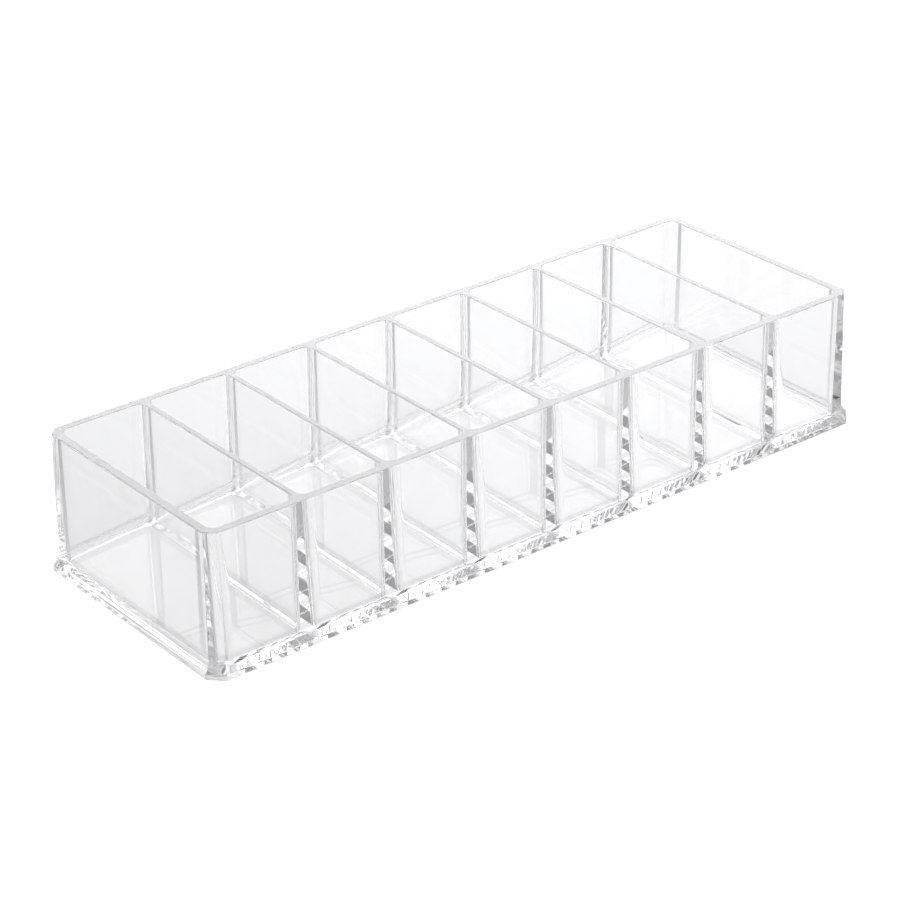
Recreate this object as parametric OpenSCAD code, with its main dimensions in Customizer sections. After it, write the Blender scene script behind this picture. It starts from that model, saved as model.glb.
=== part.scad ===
// Clear vanity organizer: a long, shallow tray with one row of equal compartments on a wide
// chamfered foot. The base tray carries a front wall, a back wall, two end walls and the
// dividers, which are flat panels bonded edge to edge.
// X runs along the row, Y from front to back and Z up. The origin is on the table, at the
// middle of the foot. Lengths are in millimetres.

/* [Overall size] */
// Length over the outer walls at the rim
rim_length = 230; // [180:1:320]
// Width over the outer walls at the rim
rim_width = 78; // [50:1:140]
// Height from the table to the rim
height = 42.5; // [25:0.5:90]

/* [Compartments] */
// Number of compartments in the row
compartments = 8; // [3:1:10]
// Thickness of the outer walls at the rim
wall = 2.8; // [2.2:0.1:4]
// Thickness of the dividers at the rim
divider = 1.9; // [1.2:0.1:3]
// Thickness of the floor
floor_thick = 2.6; // [2:0.1:5]
// Radius of the upright corners inside a compartment
corner_radius = 2.6; // [1:0.1:4]
// Radius along the floor's edges inside a compartment
floor_radius = 0.8; // [0.4:0.1:2]
// Height of the curbs under the walls and dividers, above the foot's slope and the floor's edges
curb_rise = 1; // [0.5:0.1:3]
// Flat length of the long walls' stubs, behind their rounded corners
stub_flat = 0.6; // [0.3:0.1:3]

/* [Draft] */
// How much further out each outer wall face stands at its root than at the rim
wall_lean = 0.7; // [0.2:0.1:1.5]
// How much further out each divider face stands at the floor than at the rim
divider_lean = 0.9; // [0.1:0.1:1.2]

/* [Outer corners and foot] */
// Length along the rim that the flat cut across each outer corner takes from a wall
corner_cut = 2.7; // [1:0.1:3.2]
// Height of the upright band round the foot
foot_band = 1.9; // [1:0.1:3]
// Height of the slope from the band up to the wall root
foot_slope = 2.2; // [1:0.1:3]
// How far the foot stands out beyond the wall root
foot_reach = 1.8; // [0.5:0.1:4]

/* [Hidden] */
$fn = 32;

// Clear, almost colourless plastic
clear = [0.93, 0.95, 0.97, 0.5];

// Cuts run past the rim by this much
overrun = wall;

half_length = rim_length / 2;
half_width = rim_width / 2;

// Levels, from the table up
root_z = foot_band + foot_slope;
round_z = floor_thick + floor_radius;
// The panels stand on the base tray's curbs at this level
seat_z = max(root_z, round_z) + curb_rise;

// Compartments: equal hollows, one pitch apart, whose side faces lean apart up to the rim
hollow_width = (rim_length - 2 * wall - (compartments - 1) * divider) / compartments;
pitch = hollow_width + divider;
hollow_half_depth = half_width - wall;
lean_angle = atan(divider_lean / (height - floor_thick));

// The cross panels end this far to the front and back, against short stubs on the long walls
// that carry the rounded corners
bond_y = hollow_half_depth - corner_radius - stub_flat;

function hollow_x(n) = (n - (compartments - 1) / 2) * pitch;
function divider_x(n) = (n - compartments / 2) * pitch;
// Half the width of a hollow at a level, and how far from its middle a rounding of some radius
// beside the leaning face has its axis there
function hollow_half(z) = hollow_width / 2 - (height - z) * tan(lean_angle);
function axis_x(z, radius) = hollow_half(z) - radius / cos(lean_angle);
// How far the outer wall faces stand out from the rim outline at a level
function wall_out(z) = wall_lean * (height - z) / (height - root_z);

// Long prism through the origin, turned by an angle about Z. Its section is symmetrical, and
// each [out, level] step says how far beyond the half width it reaches at that level.
module stepped_prism(half, steps, angle) {
    right = [for (step = steps) [half + step[0], step[1]]];
    left = [for (i = [len(steps) - 1 : -1 : 0]) [-right[i][0], right[i][1]]];
    rotate([90, 0, angle])
        linear_extrude(rim_length + rim_width, center = true)
            polygon(concat(right, left));
}

// Solid with the tray's cut-cornered outline, set out from the rim outline step by step
module outline_body(steps) {
    half_across = (half_length + half_width - corner_cut) / sqrt(2);
    intersection() {
        stepped_prism(half_length, steps, 0);
        stepped_prism(half_width, steps, 90);
        stepped_prism(half_across, steps, 45);
        stepped_prism(half_across, steps, -45);
    }
}

// Bar along X that runs up from far on the left and ends past the Y axis with rounded corners
module rounded_end(half, reach, radius) {
    translate([-reach, -half]) square([reach, 2 * half]);
    translate([0, radius - half]) square([radius, 2 * (half - radius)]);
    for (side = [-1, 1])
        translate([0, side * (half - radius)]) circle(radius);
}

// Upright prism between the long walls. It leans with the right face of a hollow, has that
// face's two rounded corners, and runs on to the left.
module leaning_prism() {
    translate([axis_x(0, corner_radius), 0, 0])
        rotate([0, lean_angle, 0])
            linear_extrude(4 * height, center = true)
                rounded_end(hollow_half_depth, 2 * hollow_width, corner_radius);
}

// Section of a hollow across the dividers, with its rounded floor edges
module floor_section() {
    axis = axis_x(round_z, floor_radius);
    tangent_x = axis + floor_radius * cos(lean_angle);
    tangent_z = round_z - floor_radius * sin(lean_angle);
    top = height + overrun;
    polygon([
        [-axis, floor_thick], [axis, floor_thick],
        [tangent_x, tangent_z], [hollow_half(top), top],
        [-hollow_half(top), top], [-tangent_x, tangent_z]
    ]);
    for (side = [-1, 1])
        translate([side * axis, round_z]) circle(floor_radius);
}

// Space inside one compartment, rounded at its upright corners and floor edges, open upwards
module hollow() {
    intersection() {
        leaning_prism();
        mirror([1, 0, 0]) leaning_prism();
        rotate([90, 0, 0])
            linear_extrude(rim_width, center = true)
                floor_section();
        translate([0, 0, round_z])
            rotate([0, 90, 0])
                linear_extrude(2 * hollow_width, center = true)
                    rounded_end(hollow_half_depth, height, floor_radius);
    }
}

module hollows() {
    for (n = [0 : compartments - 1])
        translate([hollow_x(n), 0, 0]) hollow();
}

// Foot, floors and the low curbs between them, up to the level that carries the panels
module base_tray() {
    foot_out = wall_lean + foot_reach;
    color(clear)
        difference() {
            outline_body([
                [foot_out, 0], [foot_out, foot_band], [wall_lean, root_z],
                [wall_out(seat_z), seat_z]
            ]);
            hollows();
        }
}

// Long wall with cut corners, and a stub with rounded flanks for each end wall and divider
module front_wall() {
    reach = half_width + wall_lean - bond_y;
    color(clear)
        difference() {
            intersection() {
                outline_body([[wall_out(seat_z), seat_z], [0, height]]);
                translate([0, -bond_y - reach / 2, height / 2])
                    cube([2 * rim_length, reach, 2 * height], center = true);
            }
            hollows();
        }
}

module back_wall() {
    mirror([0, 1, 0]) front_wall();
}

// Flat panel that crosses the tray, by the left and right faces of its section at both levels
module cross_panel(low_left, low_right, high_left, high_right) {
    rotate([90, 0, 0])
        linear_extrude(2 * bond_y, center = true)
            polygon([
                [low_left, seat_z], [low_right, seat_z], [high_right, height], [high_left, height]
            ]);
}

module right_end_wall() {
    inner_high = half_length - wall;
    inner_low = inner_high - (hollow_half(height) - hollow_half(seat_z));
    color(clear)
        cross_panel(inner_low, half_length + wall_out(seat_z), inner_high, half_length);
}

module left_end_wall() {
    mirror([1, 0, 0]) right_end_wall();
}

// Dividers are numbered from the left, and fill the space between two hollows
module divider_panel(n) {
    low_half = pitch / 2 - hollow_half(seat_z);
    high_half = divider / 2;
    color(clear)
        translate([divider_x(n), 0, 0])
            cross_panel(-low_half, low_half, -high_half, high_half);
}

base_tray();
front_wall();
back_wall();
left_end_wall();
right_end_wall();
for (n = [1 : compartments - 1])
    divider_panel(n);
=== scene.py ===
import math
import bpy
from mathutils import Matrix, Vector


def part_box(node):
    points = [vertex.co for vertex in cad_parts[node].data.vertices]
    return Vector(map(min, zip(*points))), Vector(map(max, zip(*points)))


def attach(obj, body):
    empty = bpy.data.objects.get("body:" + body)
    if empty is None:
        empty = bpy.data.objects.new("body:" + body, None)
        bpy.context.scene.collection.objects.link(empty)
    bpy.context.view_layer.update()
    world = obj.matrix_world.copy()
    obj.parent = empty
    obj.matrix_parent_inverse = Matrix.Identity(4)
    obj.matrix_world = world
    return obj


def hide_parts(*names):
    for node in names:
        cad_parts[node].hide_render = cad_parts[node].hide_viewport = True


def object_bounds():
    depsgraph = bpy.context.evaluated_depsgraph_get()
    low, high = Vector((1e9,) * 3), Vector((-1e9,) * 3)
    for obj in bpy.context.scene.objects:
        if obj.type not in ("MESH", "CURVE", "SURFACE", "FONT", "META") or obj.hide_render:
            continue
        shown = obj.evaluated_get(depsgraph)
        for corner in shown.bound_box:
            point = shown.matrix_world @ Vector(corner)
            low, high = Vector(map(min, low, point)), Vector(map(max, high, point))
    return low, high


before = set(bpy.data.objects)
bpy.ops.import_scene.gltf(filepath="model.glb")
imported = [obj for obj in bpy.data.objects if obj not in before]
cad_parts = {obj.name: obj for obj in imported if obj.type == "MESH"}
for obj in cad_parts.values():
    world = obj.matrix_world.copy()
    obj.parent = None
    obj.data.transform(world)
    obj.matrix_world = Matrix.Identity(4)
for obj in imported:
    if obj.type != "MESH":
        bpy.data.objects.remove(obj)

from types import SimpleNamespace

import bpy
from mathutils import Matrix, Vector
from mathutils.geometry import tessellate_polygon

cad_low, cad_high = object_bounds()

# Sizes of the tray in metres, as in the CAD source
MM = 0.001
RIM_LENGTH = 230 * MM
RIM_WIDTH = 78 * MM
WALL = 2.8 * MM
DIVIDER = 1.9 * MM
FLOOR_THICK = 2.6 * MM
FLOOR_RADIUS = 0.8 * MM
WALL_LEAN = 0.7 * MM
DIVIDER_LEAN = 0.9 * MM
CORNER_CUT = 2.7 * MM
FOOT_BAND = 1.9 * MM
FOOT_SLOPE = 2.2 * MM
FOOT_REACH = 1.8 * MM

# Small roundings that the mould leaves on the edges
RIM_ROUND = 0.4 * MM
FOOT_ROUND = 0.6 * MM
ROOT_ROUND = 2.4 * MM
CORNER_ROUND = 0.4 * MM

# Steps in each kind of arc: the cut corners' edges, the upright corners of the compartments, the
# edges of the rim and the foot, and the floor edges
CORNER_STEPS = 4
HOLLOW_STEPS = 24
EDGE_STEPS = 5
FILLET_STEPS = 12
# The upright corners' bend is summed up from this many slices for each step
SLICES = 16
# Corners of faces are one point where they agree to this many decimals of a metre
MERGE_DIGITS = 9

# The plastic. A metre of it lets through exp(-density * (1 - colour)) of the light.
IOR = 1.58
BODY_COLOR = (0.495, 0.5, 0.51, 1)
BODY_DENSITY = 8.0
SHADE_TINT = (0.98, 0.98, 0.98, 1)
# Light bounces many times inside the floor slab before it leaves
LIGHT_BOUNCES = 128

# The studio's floor. It glows a little by itself, less where it is seen through the plastic: that
# lower glow is painted shade of the floor round the tray.
STAGE_HALF = 3.0
STAGE_GAP = 0.05 * MM
STAGE_COLOR = (0.25, 0.25, 0.25, 1)
GLOW_COLOR = (0.975, 0.984, 1.0, 1)
CAMERA_GLOW = 0.8
PLASTIC_GLOW = 0.68
# Through the plastic, the glow fades with the distance from this middle, to a share of itself: a
# painted pool of light
PAINTED_POOL_MIDDLE = (0.14, 0.12, 0.0)
PAINTED_POOL_NEAR = 0.1
PAINTED_POOL_FAR = 0.6
PAINTED_POOL_EDGE = 0.1

# The sky, and a lamp with its size in metres and its power in watts
WHITE = (1, 1, 1, 1)
SKY_LEVEL = 1.3
# Soft areas of the sky: azimuth from +X, elevation, radius of the even part and outer radius in
# degrees, then how much brighter or darker than the sky
SOFT_AREAS = [
    (52, 28, 8, 20, 1.5),  # behind the tray
    (175, 44, 14, 36, 2.2),  # left
    (335, 42, 14, 36, 2.2),  # right
    (120, 20, 20, 40, 0.35),  # back left
    (0, 90, 20, 40, 0.3),  # overhead
]
LAMP_PLACE = Vector((-0.5, 0.5, 0.9))
LAMP_SIZE = 0.5
LAMP_POWER = 1

# The camera, fitted to the photograph: angles in degrees, lens and sensor in millimetres
CAMERA_AZIMUTH = 38.03
CAMERA_ELEVATION = 27.307
CAMERA_ROLL = -1.193
CAMERA_DISTANCE = 0.7962
CAMERA_TARGET = Vector((-0.02105, -0.01877, 0.0276))
CAMERA_LENS = 114.7
CAMERA_SENSOR = 36
CAMERA_NEAR = 0.01
CAMERA_FAR = 50

# Places that follow from the frame and the sizes
DIVIDERS = sum(name.startswith("divider_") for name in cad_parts)
COMPARTMENTS = DIVIDERS + 1
HEIGHT = cad_high.z
SEAT_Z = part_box("divider_1")[0].z
BOND_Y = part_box("divider_1")[1].y
ROOT_Z = FOOT_BAND + FOOT_SLOPE
HOLLOW_WIDTH = (RIM_LENGTH - 2 * WALL - DIVIDERS * DIVIDER) / COMPARTMENTS
HOLLOW_HALF_DEPTH = RIM_WIDTH / 2 - WALL
PITCH = HOLLOW_WIDTH + DIVIDER
CORNER_REACH = HOLLOW_HALF_DEPTH - BOND_Y
WALL_SLOPE = WALL_LEAN / (HEIGHT - ROOT_Z)
DIVIDER_SLOPE = DIVIDER_LEAN / (HEIGHT - FLOOR_THICK)
UP = Vector((0, 0, 1))
# Material slots of every piece: polished faces, and faces bonded to another piece
POLISHED, BOND = 0, 1


def hollow_x(n):
    """The middle of compartment n, counted from 0 at the left."""
    return (n - (COMPARTMENTS - 1) / 2) * PITCH


def hollow_half(z):
    """Half the width of a compartment at a level."""
    return HOLLOW_WIDTH / 2 - (HEIGHT - z) * DIVIDER_SLOPE


def wall_out(z):
    """How far the outer wall faces stand out from the rim outline at a level."""
    return WALL_SLOPE * (HEIGHT - z)


def spot(x, y, normal):
    """A point of a section with the normal of the surface that passes through it."""
    return SimpleNamespace(x=x, y=y, normal=Vector(normal).normalized())


def at_level(p, z):
    """The place of a section's spot at a level."""
    return Vector((p.x, p.y, z))


def turned(normal, angle):
    """The normal of an edge rounding, turned from the face's own towards straight up."""
    return (normal * math.cos(angle) + UP * math.sin(angle)).normalized()


def rounded_polygon(supports, radius, steps, slope):
    """Closed path round a polygon whose sides face evenly spaced directions, at these distances
    from the middle. slope is the rise of the surface's normals."""
    turn = 2 * math.pi / len(supports)
    path = []
    for side, support in enumerate(supports):
        start = side * turn
        along = supports[(side + 1) % len(supports)] - radius
        out = support - radius
        across = (along - out * math.cos(turn)) / math.sin(turn)
        centre_x = out * math.cos(start) - across * math.sin(start)
        centre_y = out * math.sin(start) + across * math.cos(start)
        for step in range(steps + 1):
            angle = start + turn * step / steps
            facing = (math.cos(angle), math.sin(angle), slope)
            path.append(spot(centre_x + radius * facing[0], centre_y + radius * facing[1], facing))
    return path


def outline_path(out, slope=WALL_SLOPE):
    """The tray's outer outline with its cut corners, this far out from the rim outline. It goes
    round counterclockwise, and its second half is the front."""
    half_length = RIM_LENGTH / 2 + out
    half_width = RIM_WIDTH / 2 + out
    across = (RIM_LENGTH / 2 + RIM_WIDTH / 2 - CORNER_CUT) / math.sqrt(2) + out
    supports = [half_length, across, half_width, across] * 2
    return rounded_polygon(supports, CORNER_ROUND, CORNER_STEPS, slope)


def soft_quarter(steps):
    """Quarter turn from (1, 0) to (0, 1) whose bend grows and fades smoothly, as (x, y, angle)."""
    slices = SLICES * steps
    x = y = 0.0
    turns = [(x, y, 0.0)]
    for i in range(1, slices + 1):
        angle = math.pi / 4 * (1 - math.cos(math.pi * (i - 0.5) / slices))
        x -= math.sin(angle)
        y += math.cos(angle)
        turns.append((x, y, math.pi / 4 * (1 - math.cos(math.pi * i / slices))))
    return [(1 + x / turns[-1][1], y / turns[-1][1], angle) for x, y, angle in turns[::SLICES]]


def hollow_path(n, z, grow):
    """The outline of one compartment at a level, widened by grow, with normals into the
    compartment. It goes round clockwise from the front end of the right side, and its first half
    is the front."""
    path = []
    for side in range(4):
        start = side * math.pi / 2
        right = math.copysign(1, math.cos(start + math.pi / 4))
        back = math.copysign(1, math.sin(start + math.pi / 4))
        centre_x = hollow_x(n) + right * (hollow_half(z) - CORNER_REACH)
        centre_y = back * (HOLLOW_HALF_DEPTH - CORNER_REACH)
        for along, across, angle in soft_quarter(HOLLOW_STEPS):
            facing_x = math.cos(start + angle)
            facing_y = math.sin(start + angle)
            x = centre_x + CORNER_REACH * (along * math.cos(start) - across * math.sin(start))
            y = centre_y + CORNER_REACH * (along * math.sin(start) + across * math.cos(start))
            normal = (-facing_x, -facing_y, DIVIDER_SLOPE * abs(facing_x))
            path.append(spot(x + grow * facing_x, y + grow * facing_y, normal))
    return path[::-1]


class Shell:
    """A closed mesh that is built face by face, with exact normals at its corners."""

    def __init__(self):
        self.points = {}
        self.faces = []

    def face(self, corners, kind):
        """corners is [(place, normal)], counterclockwise from outside."""
        ring = []
        for place, normal in corners:
            key = tuple(round(value, MERGE_DIGITS) for value in place)
            number = self.points.setdefault(key, len(self.points))
            if not any(number == other for other, _ in ring):
                ring.append((number, normal))
        if len(ring) > 2:
            self.faces.append((ring, kind))

    def loft(self, rings):
        """Polished faces between closed rings of corners, from the lowest ring to the highest."""
        for low, high in zip(rings, rings[1:]):
            for i in range(len(low)):
                self.face([low[i - 1], low[i], high[i], high[i - 1]], POLISHED)

    def cap(self, loops, z, facing, kind):
        """Flat face at a level, inside the first loop and outside the others."""
        loops = [[at_level(p, z) for p in loop] for loop in loops]
        flat = [place for loop in loops for place in loop]
        for triangle in tessellate_polygon(loops):
            a, b, c = (flat[i] for i in triangle)
            if (b - a).cross(c - a).z * facing < 0:
                b, c = c, b
            self.face([(place, UP * facing) for place in (a, b, c)], kind)

    def object(self, name, materials):
        """The finished mesh as an object in the scene."""
        mesh = bpy.data.meshes.new(name)
        faces = [[number for number, _ in ring] for ring, _ in self.faces]
        mesh.from_pydata(list(self.points), [], faces)
        for material in materials:
            mesh.materials.append(material)
        for polygon, (_, kind) in zip(mesh.polygons, self.faces):
            polygon.material_index = kind
            polygon.use_smooth = True
        mesh.normals_split_custom_set([normal for ring, _ in self.faces for _, normal in ring])
        piece = bpy.data.objects.new(name, mesh)
        bpy.context.scene.collection.objects.link(piece)
        return piece


def rim_levels():
    """(level, inset, tilt) from the seat to the rim, with the rounding of the rim's edges."""
    levels = [(SEAT_Z, 0.0, 0.0)]
    for step in range(EDGE_STEPS + 1):
        tilt = math.pi / 2 * step / EDGE_STEPS
        inset = RIM_ROUND * (1 - math.cos(tilt))
        levels.append((HEIGHT - RIM_ROUND * (1 - math.sin(tilt)), inset, tilt))
    return levels


def upright_shell(section):
    """Solid between the seat and the rim. section gives its runs at a level: each run is a smooth
    path of spots, and flat bond faces join one run to the next."""
    shell = Shell()
    levels = [(z, tilt, section(z, inset)) for z, inset, tilt in rim_levels()]
    for low, high in zip(levels, levels[1:]):
        polished_faces(shell, low, high)
        bond_faces(shell, low, high)
    for (z, _, runs), facing, kind in ((levels[0], -1, BOND), (levels[-1], 1, POLISHED)):
        shell.cap([[p for run in runs for p in run]], z, facing, kind)
    return shell


def polished_faces(shell, low, high):
    """The faces along each run, between two levels given as (z, tilt, runs)."""
    low_z, low_tilt, low_runs = low
    high_z, high_tilt, high_runs = high
    for low_run, high_run in zip(low_runs, high_runs):
        under = [(at_level(p, low_z), turned(p.normal, low_tilt)) for p in low_run]
        over = [(at_level(p, high_z), turned(p.normal, high_tilt)) for p in high_run]
        for corners in zip(under, under[1:], over[1:], over):
            shell.face(corners, POLISHED)


def bond_faces(shell, low, high):
    """The flat faces from the end of each run to the start of the next, between two levels."""
    low_z, _, low_runs = low
    high_z, _, high_runs = high
    for i in range(len(low_runs)):
        following = (i + 1) % len(low_runs)
        corners = [
            at_level(low_runs[i][-1], low_z),
            at_level(low_runs[following][0], low_z),
            at_level(high_runs[following][0], high_z),
            at_level(high_runs[i][-1], high_z),
        ]
        normal = (corners[1] - corners[0]).cross(UP).normalized()
        shell.face([(corner, normal) for corner in corners], BOND)


def long_wall_section(z, inset):
    """Runs of the front wall: the outer face with both cut corners, then the compartments."""
    outline = outline_path(wall_out(z) - inset)
    front = outline[len(outline) // 2:]
    left = spot(front[0].x, -BOND_Y, front[0].normal)
    right = spot(front[-1].x, -BOND_Y, front[-1].normal)
    runs = [[left, *front, right]]
    for n in reversed(range(COMPARTMENTS)):
        path = hollow_path(n, z, inset)
        runs.append(path[:len(path) // 2])
    return runs


def half_turn(section):
    """The same section turned half a turn about the upright axis."""
    def turned_section(z, inset):
        return [
            [spot(-p.x, -p.y, (-p.normal.x, -p.normal.y, p.normal.z)) for p in run]
            for run in section(z, inset)
        ]
    return turned_section


def cross_section(left_x, right_x, left_slope, right_slope):
    """Runs of a panel that crosses the tray, by its left and right faces."""
    def section(z, inset):
        left = left_x(z) + inset
        right = right_x(z) - inset
        left_normal = (-1, 0, left_slope)
        right_normal = (1, 0, right_slope)
        return [
            [spot(left, BOND_Y, left_normal), spot(left, -BOND_Y, left_normal)],
            [spot(right, -BOND_Y, right_normal), spot(right, BOND_Y, right_normal)],
        ]
    return section


def divider_section(n):
    """The panel between compartment n and the one before it."""
    return cross_section(
        lambda z: hollow_x(n - 1) + hollow_half(z),
        lambda z: hollow_x(n) - hollow_half(z),
        DIVIDER_SLOPE,
        DIVIDER_SLOPE,
    )


def end_wall_section():
    """The panel to the right of the last compartment."""
    return cross_section(
        lambda z: hollow_x(COMPARTMENTS - 1) + hollow_half(z),
        lambda z: RIM_LENGTH / 2 + wall_out(z),
        DIVIDER_SLOPE,
        WALL_SLOPE,
    )


def rounded_corner(before, corner, after, radius):
    """(out, level, tilt of the normal) along the rounding of one corner of the foot's profile."""
    start = Vector(corner) - Vector(before)
    end = Vector(after) - Vector(corner)
    first = math.atan2(-start.x, start.y)
    second = math.atan2(-end.x, end.y)
    reach = radius * math.tan(abs(second - first) / 2)
    side = math.copysign(1, second - first)
    begin = Vector(corner) - start.normalized() * reach
    centre = begin - side * radius * Vector((math.cos(first), math.sin(first)))
    found = []
    for step in range(EDGE_STEPS + 1):
        tilt = first + (second - first) * step / EDGE_STEPS
        edge = centre + side * radius * Vector((math.cos(tilt), math.sin(tilt)))
        found.append((edge.x, edge.y, tilt))
    return found


def foot_profile():
    """The outer face of the base tray from the table to the seat."""
    foot_out = WALL_LEAN + FOOT_REACH
    corners = [
        (0, 0),
        (foot_out, 0),
        (foot_out, FOOT_BAND),
        (WALL_LEAN, ROOT_Z),
        (wall_out(SEAT_Z), SEAT_Z),
    ]
    profile = []
    for i, radius in enumerate([FOOT_ROUND, FOOT_ROUND, ROOT_ROUND]):
        profile += rounded_corner(*corners[i:i + 3], radius)
    profile.append((*corners[-1], math.atan(WALL_SLOPE)))
    return profile


def base_tray_shell():
    """Foot, floors and the low curbs between them, up to the seat."""
    shell = Shell()
    profile = foot_profile()
    shell.loft([
        [(at_level(p, z), turned(p.normal, tilt)) for p in outline_path(out, 0)]
        for out, z, tilt in profile
    ])
    shell.cap([outline_path(profile[0][0])], 0.0, -1, POLISHED)
    hollows = [hollow_path(n, SEAT_Z, 0.0) for n in range(COMPARTMENTS)]
    shell.cap([outline_path(wall_out(SEAT_Z)), *hollows], SEAT_Z, 1, BOND)
    for n in range(COMPARTMENTS):
        pan(shell, n)
    return shell


def pan(shell, n):
    """The walls and the rounded floor of one compartment, below the seat."""
    rings = [[(at_level(p, SEAT_Z), p.normal) for p in hollow_path(n, SEAT_Z, 0.0)]]
    for step in range(FILLET_STEPS + 1):
        tilt = math.pi / 2 * step / FILLET_STEPS
        z = FLOOR_THICK + FLOOR_RADIUS * (1 - math.sin(tilt))
        path = hollow_path(n, z, -FLOOR_RADIUS * (1 - math.cos(tilt)))
        rings.append([(at_level(p, z), turned(p.normal, tilt)) for p in path])
    shell.loft(rings[::-1])
    shell.cap([hollow_path(n, FLOOR_THICK, -FLOOR_RADIUS)], FLOOR_THICK, 1, POLISHED)


def node_material(name):
    """A new material with nodes, and its tree."""
    material = bpy.data.materials.new(name)
    material.use_nodes = True
    return material, material.node_tree


def math_node(tree, operation, first, second):
    """One Math node. Each input is a link from another node or a plain number."""
    node = tree.nodes.new("ShaderNodeMath")
    node.operation = operation
    for socket, value in zip(node.inputs, (first, second)):
        if isinstance(value, (int, float)):
            socket.default_value = value
        else:
            tree.links.new(value, socket)
    return node.outputs[0]


def vector_node(tree, operation, link, fixed):
    """One Vector Math node between a link and a plain vector, whose result is a number."""
    node = tree.nodes.new("ShaderNodeVectorMath")
    node.operation = operation
    node.inputs[1].default_value = fixed
    tree.links.new(link, node.inputs[0])
    return node.outputs["Value"]


def range_node(tree, shape, link, begin, end, low, high):
    """Takes a number to low where it is begin or less, and to high where it is end or more."""
    node = tree.nodes.new("ShaderNodeMapRange")
    node.interpolation_type = shape
    node.inputs["From Min"].default_value = begin
    node.inputs["From Max"].default_value = end
    node.inputs["To Min"].default_value = low
    node.inputs["To Max"].default_value = high
    tree.links.new(link, node.inputs["Value"])
    return node.outputs[0]


def mix_node(tree, factor, first, second):
    """The first shader where factor is 0 and the second where it is 1."""
    node = tree.nodes.new("ShaderNodeMixShader")
    for socket, link in zip(node.inputs, (factor, first, second)):
        tree.links.new(link, socket)
    return node.outputs[0]


def clear_plastic():
    """Water-clear polished plastic that takes a little light along its depth. Light on its way to
    the floor goes straight through and is dimmed at each face, which gives the tray its shadow."""
    material, tree = node_material("clear_plastic")
    nodes, links = tree.nodes, tree.links
    polished = nodes["Principled BSDF"]
    polished.inputs["Base Color"].default_value = WHITE
    polished.inputs["Roughness"].default_value = 0.0
    polished.inputs["IOR"].default_value = IOR
    polished.inputs["Transmission Weight"].default_value = 1.0
    shade = nodes.new("ShaderNodeBsdfTransparent")
    shade.inputs["Color"].default_value = SHADE_TINT
    path = nodes.new("ShaderNodeLightPath")
    to_floor = math_node(
        tree, "MAXIMUM", path.outputs["Is Shadow Ray"], path.outputs["Is Diffuse Ray"])
    surface = mix_node(tree, to_floor, polished.outputs[0], shade.outputs[0])
    body = nodes.new("ShaderNodeVolumeAbsorption")
    body.inputs["Color"].default_value = BODY_COLOR
    body.inputs["Density"].default_value = BODY_DENSITY
    links.new(surface, nodes["Material Output"].inputs["Surface"])
    links.new(body.outputs[0], nodes["Material Output"].inputs["Volume"])
    return material


def bond_line():
    """Cured joint between two pieces of the same plastic, which shows nothing."""
    material, tree = node_material("bond")
    tree.nodes.remove(tree.nodes["Principled BSDF"])
    through = tree.nodes.new("ShaderNodeBsdfTransparent")
    tree.links.new(through.outputs[0], tree.nodes["Material Output"].inputs["Surface"])
    return material


def dress(node, shell, materials):
    """Puts a finished mesh in the place of one CAD node."""
    piece = shell.object(node + "_clear", materials)
    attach(piece, "root")
    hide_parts(node)


def build_tray():
    """Dresses every node of the CAD model."""
    materials = [clear_plastic(), bond_line()]
    dress("base_tray", base_tray_shell(), materials)
    dress("front_wall", upright_shell(long_wall_section), materials)
    dress("back_wall", upright_shell(half_turn(long_wall_section)), materials)
    dress("right_end_wall", upright_shell(end_wall_section()), materials)
    dress("left_end_wall", upright_shell(half_turn(end_wall_section())), materials)
    for n in range(1, COMPARTMENTS):
        dress(f"divider_{n}", upright_shell(divider_section(n)), materials)


def build_camera():
    """Looks at its target from the front left, from above."""
    azimuth = math.radians(CAMERA_AZIMUTH)
    elevation = math.radians(CAMERA_ELEVATION)
    back = Vector((
        -math.sin(azimuth) * math.cos(elevation),
        -math.cos(azimuth) * math.cos(elevation),
        math.sin(elevation),
    ))
    data = bpy.data.cameras.new("camera")
    data.lens = CAMERA_LENS
    data.sensor_width = CAMERA_SENSOR
    data.clip_start = CAMERA_NEAR
    data.clip_end = CAMERA_FAR
    camera = bpy.data.objects.new("camera", data)
    side = UP.cross(back).normalized()
    level = Matrix((side, back.cross(side), back)).transposed()
    roll = Matrix.Rotation(math.radians(CAMERA_ROLL), 3, "Z")
    spin = (level @ roll).to_4x4()
    camera.matrix_world = Matrix.Translation(CAMERA_TARGET + back * CAMERA_DISTANCE) @ spin
    bpy.context.scene.collection.objects.link(camera)
    bpy.context.scene.camera = camera


def painted_light_pool(tree):
    """PLASTIC_GLOW in a painted pool of light that the tray stands in, fading away from its
    middle.
    """
    # Painted pool of light: the floor's glow is faded by distance from a fixed middle
    position = tree.nodes.new("ShaderNodeNewGeometry").outputs["Position"]
    away = vector_node(tree, "DISTANCE", position, PAINTED_POOL_MIDDLE)
    edge = PLASTIC_GLOW * PAINTED_POOL_EDGE
    return range_node(tree, "LINEAR", away, PAINTED_POOL_NEAR, PAINTED_POOL_FAR, PLASTIC_GLOW, edge)


def glow_level(tree):
    """The floor's own glow, for the camera and for the gloss and depth of the plastic. For the
    plastic it is lower, as painted shade, and fades as a painted pool of light.
    """
    path = tree.nodes.new("ShaderNodeLightPath")
    plastic = math_node(
        tree, "MAXIMUM", path.outputs["Is Glossy Ray"], path.outputs["Is Transmission Ray"])
    return math_node(
        tree,
        "ADD",
        math_node(tree, "MULTIPLY", path.outputs["Is Camera Ray"], CAMERA_GLOW),
        math_node(tree, "MULTIPLY", plastic, painted_light_pool(tree)),
    )


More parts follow.
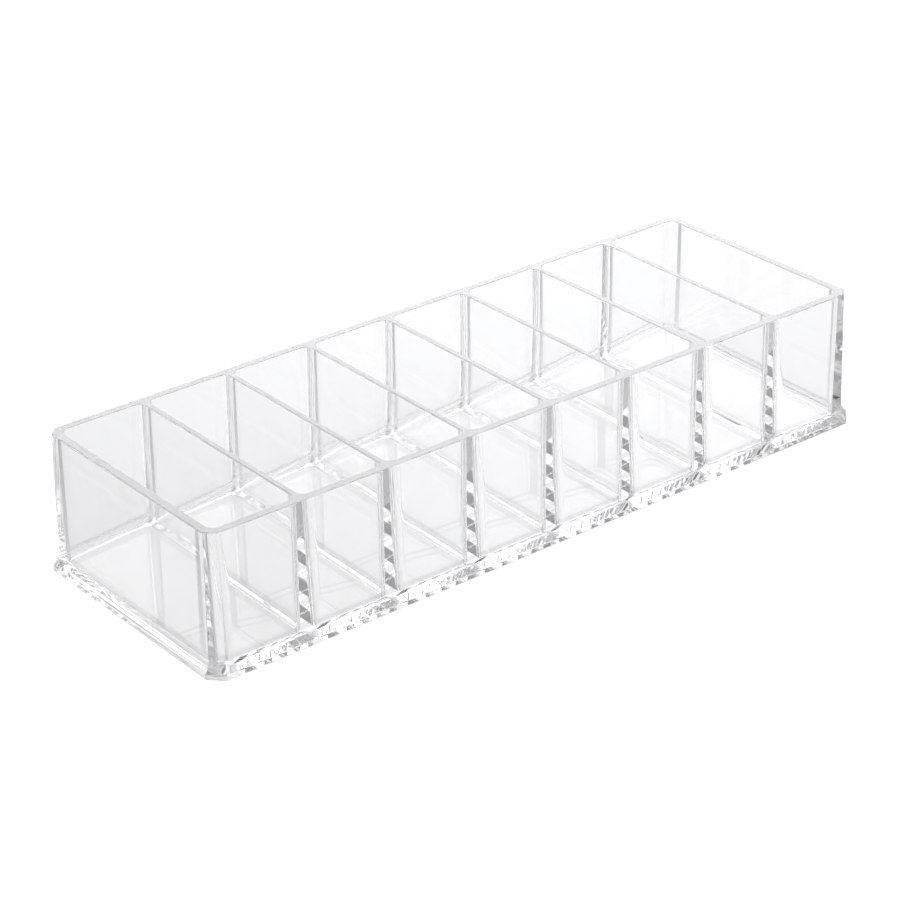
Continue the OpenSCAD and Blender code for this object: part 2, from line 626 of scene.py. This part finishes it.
def stage_material():
    """Pale matte material with a glow of its own."""
    material, tree = node_material("floor")
    nodes, links = tree.nodes, tree.links
    nodes.remove(nodes["Principled BSDF"])
    matte = nodes.new("ShaderNodeBsdfDiffuse")
    matte.inputs["Color"].default_value = STAGE_COLOR
    glow = nodes.new("ShaderNodeEmission")
    glow.inputs["Color"].default_value = GLOW_COLOR
    both = nodes.new("ShaderNodeAddShader")
    links.new(glow_level(tree), glow.inputs["Strength"])
    links.new(matte.outputs[0], both.inputs[0])
    links.new(glow.outputs[0], both.inputs[1])
    links.new(both.outputs[0], nodes["Material Output"].inputs["Surface"])
    return material


def build_stage():
    """The studio's flat floor, a hair under the foot."""
    half = STAGE_HALF
    corners = [(-half, -half), (half, -half), (half, half), (-half, half)]
    mesh = bpy.data.meshes.new("floor")
    mesh.from_pydata([(x, y, -STAGE_GAP) for x, y in corners], [], [(0, 1, 2, 3)])
    mesh.materials.append(stage_material())
    floor = bpy.data.objects.new("floor", mesh)
    bpy.context.scene.collection.objects.link(floor)


def soft_area(tree, direction, azimuth, elevation, core, reach, level):
    """level within an angle of one direction of the sky, and 1 far from it, with a soft edge."""
    core, reach = math.radians(core), math.radians(reach)
    around, up = math.radians(azimuth), math.radians(elevation)
    middle = (
        math.cos(around) * math.cos(up),
        math.sin(around) * math.cos(up),
        math.sin(up),
    )
    near = vector_node(tree, "DOT_PRODUCT", direction, middle)
    return range_node(tree, "SMOOTHSTEP", near, math.cos(reach), math.cos(core), 1.0, level)


def build_world():
    """A white studio with brighter and darker parts, from which the plastic takes its grey lines.
    To the camera it is plain white."""
    world = bpy.data.worlds.new("studio")
    bpy.context.scene.world = world
    world.use_nodes = True
    tree = world.node_tree
    nodes, links = tree.nodes, tree.links
    direction = nodes.new("ShaderNodeTexCoord").outputs["Generated"]
    level = SKY_LEVEL
    for area in SOFT_AREAS:
        level = math_node(tree, "MULTIPLY", level, soft_area(tree, direction, *area))
    sky = nodes["Background"]
    sky.inputs["Color"].default_value = WHITE
    links.new(level, sky.inputs["Strength"])
    plain = nodes.new("ShaderNodeBackground")
    plain.inputs["Color"].default_value = WHITE
    to_camera = nodes.new("ShaderNodeLightPath").outputs["Is Camera Ray"]
    surface = mix_node(tree, to_camera, sky.outputs[0], plain.outputs[0])
    links.new(surface, nodes["World Output"].inputs["Surface"])


def build_lamp():
    """A soft lamp at the back left, which aims at the tray."""
    data = bpy.data.lights.new("key", "AREA")
    data.shape = "DISK"
    data.size = LAMP_SIZE
    data.energy = LAMP_POWER
    lamp = bpy.data.objects.new("key", data)
    lamp.location = LAMP_PLACE
    lamp.rotation_mode = "QUATERNION"
    lamp.rotation_quaternion = (-LAMP_PLACE).to_track_quat("-Z", "Y")
    bpy.context.scene.collection.objects.link(lamp)


build_tray()
build_camera()
build_stage()
build_world()
build_lamp()

scene = bpy.context.scene
scene.view_settings.view_transform = "Standard"
scene.cycles.max_bounces = LIGHT_BOUNCES
scene.cycles.transmission_bounces = LIGHT_BOUNCES
scene.cycles.glossy_bounces = LIGHT_BOUNCES
scene.cycles.transparent_max_bounces = LIGHT_BOUNCES
